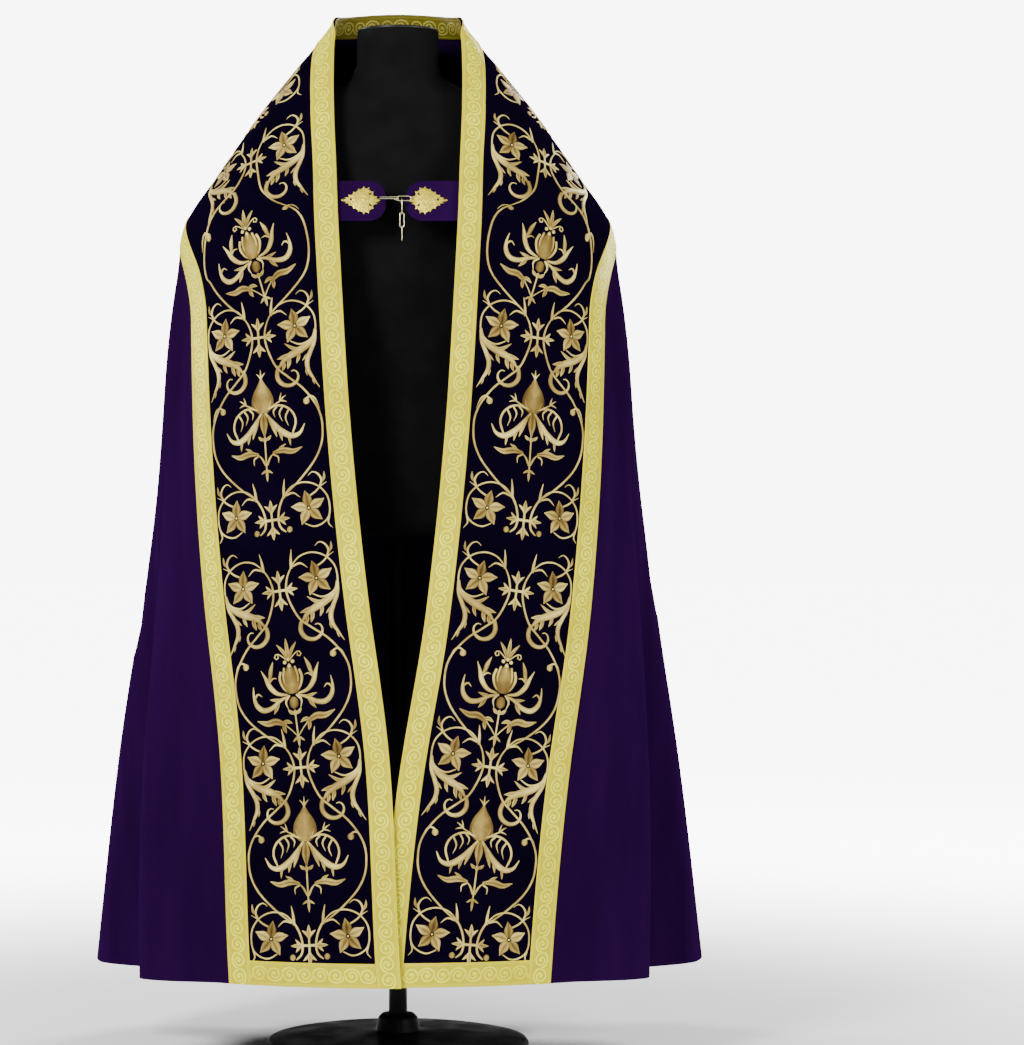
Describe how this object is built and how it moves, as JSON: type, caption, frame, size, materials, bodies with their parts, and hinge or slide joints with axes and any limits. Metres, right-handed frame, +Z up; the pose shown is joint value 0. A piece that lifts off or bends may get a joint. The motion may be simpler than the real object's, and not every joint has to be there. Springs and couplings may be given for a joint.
{
  "type": "cope vestment on a dress form",
  "caption": "Violet cope with gold-embroidered velvet orphreys, gold galloon, a fringed hood and a clasp, worn open on a limbless black dress form.",
  "frame": {"origin": "centre of the stand base's flat underside, on the pole's axis", "axes": "+Z up the pole, -Y towards the cope's open front, +X towards the right of a viewer who faces the front"},
  "size_m": [0.9286, 0.6325, 1.5909],
  "materials": {
    "violet_cloth": "matt violet wool-silk cloth with a soft sheen",
    "velvet": "near-black violet velvet with gold embroidery",
    "galloon": "lemon-gold woven braid with a running scroll",
    "cream_band": "narrow pale cream-gold braid",
    "fringe": "gold bullion fringe",
    "brooch_gold": "bright gilt metal",
    "steel": "pale polished metal wire",
    "jersey": "black jersey stretched over the form",
    "black_metal": "satin black paint"
  },
  "bodies": {
    "root": {"brooch_left": "brooch_gold", "brooch_right": "brooch_gold", "chain_link_1": "steel", "chain_link_2": "steel", "chain_link_3": "steel", "clasp_eye": "steel", "clasp_hook": "steel", "clasp_tab_left": "violet_cloth", "clasp_tab_right": "violet_cloth", "collar_facing": "galloon", "cope_back": "violet_cloth", "cope_left": "violet_cloth", "cope_right": "violet_cloth", "form_base": "black_metal", "form_neck_cap": "black_metal", "form_pole": "black_metal", "form_torso": "jersey", "galloon_centre_back": "galloon", "galloon_collar": "galloon", "galloon_front_left": "galloon", "galloon_front_right": "galloon", "galloon_hem_left": "galloon", "galloon_hem_right": "galloon", "galloon_side_left": "galloon", "galloon_side_right": "galloon", "galloon_yoke": "galloon", "hood": "velvet", "hood_band": "cream_band", "hood_fringe": "fringe", "orphrey_left": "velvet", "orphrey_right": "velvet"}
  },
  "joints": []
}
